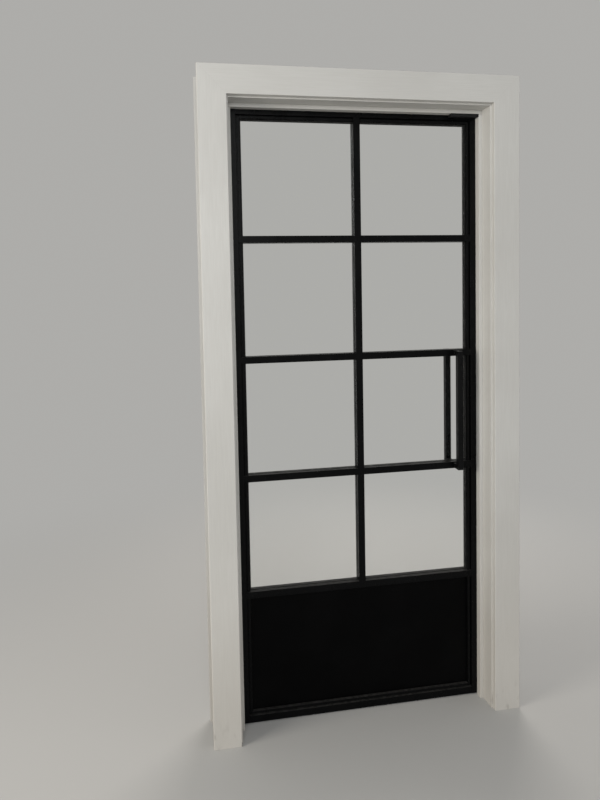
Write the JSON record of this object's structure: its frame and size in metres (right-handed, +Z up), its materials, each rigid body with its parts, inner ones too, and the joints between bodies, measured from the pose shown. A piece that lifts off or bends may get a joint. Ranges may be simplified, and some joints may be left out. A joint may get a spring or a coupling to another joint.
{
  "type": "glass door",
  "caption": "Black steel door leaf with divided clear glass, a kick panel and square pull handles, hung on hinges in its white timber frame with casings.",
  "frame": {"origin": "on the floor, in the middle of the doorway, halfway through the whole depth from the front casing's face to the rear grip's back", "axes": "+X to the right and +Y away from the viewer on the side the leaf opens away from, +Z up"},
  "size_m": [1.073, 0.179, 2.1745],
  "materials": {
    "white_paint": "satin white paint on timber",
    "black_coat": "satin black powder coat",
    "black_panel": "satin black coated sheet",
    "black_handle": "satin black powder coat",
    "black_hinge": "satin black coat",
    "bright_steel": "plain steel",
    "gasket_rubber": "matt black rubber",
    "clear_glass": "clear toughened",
    "black_plastic": "matt black",
    "block_plastic": "matt grey"
  },
  "bodies": {
    "frame": {"jamb_left": "white_paint", "jamb_right": "white_paint", "jamb_head": "white_paint", "stop_left": "white_paint", "stop_right": "white_paint", "stop_head": "white_paint", "casing_front_left": "white_paint", "casing_front_right": "white_paint", "casing_front_head": "white_paint", "casing_rear_left": "white_paint", "casing_rear_right": "white_paint", "casing_rear_head": "white_paint", "hinge_frame_leaf_bottom": "black_hinge", "hinge_pin_bottom": "bright_steel", "hinge_frame_leaf_middle": "black_hinge", "hinge_pin_middle": "bright_steel", "hinge_frame_leaf_top": "black_hinge", "hinge_pin_top": "bright_steel", "catch_body": "black_plastic"},
    "leaf": {"stile_left": "black_coat", "stile_right": "black_coat", "rail_top": "black_coat", "rail_bottom": "black_coat", "rail_kick": "black_coat", "rail_kick_cap": "black_coat", "mullion": "black_coat", "mullion_cap": "black_coat", "bead_left": "black_coat", "bead_right": "black_coat", "bead_top_left": "black_coat", "bead_top_right": "black_coat", "panel_bead_left": "black_coat", "panel_bead_right": "black_coat", "panel_bead_bottom": "black_coat", "bars_front_bottom": "black_coat", "bars_front_middle": "black_coat", "bars_front_top": "black_coat", "bars_rear_bottom": "black_coat", "bars_rear_middle": "black_coat", "bars_rear_top": "black_coat", "glass_left": "clear_glass", "glass_right": "clear_glass", "gaskets_front": "gasket_rubber", "gaskets_rear": "gasket_rubber", "setting_blocks": "block_plastic", "kick_panel": "black_panel", "handle_grip_front": "black_handle", "handle_arms_front": "black_handle", "handle_grip_rear": "black_handle", "handle_arms_rear": "black_handle", "handle_bolts": "bright_steel", "handle_set_screws": "bright_steel", "hinge_door_leaf_bottom": "black_hinge", "hinge_door_leaf_middle": "black_hinge", "hinge_door_leaf_top": "black_hinge", "strike_plate": "black_hinge"}
  },
  "joints": [
    {"name": "leaf_hinge", "type": "hinge", "parent": "frame", "child": "leaf", "pos_m": [-0.437, 0.056, 0], "axis": [0, 0, 1], "range_deg": [0, 110]}
  ]
}
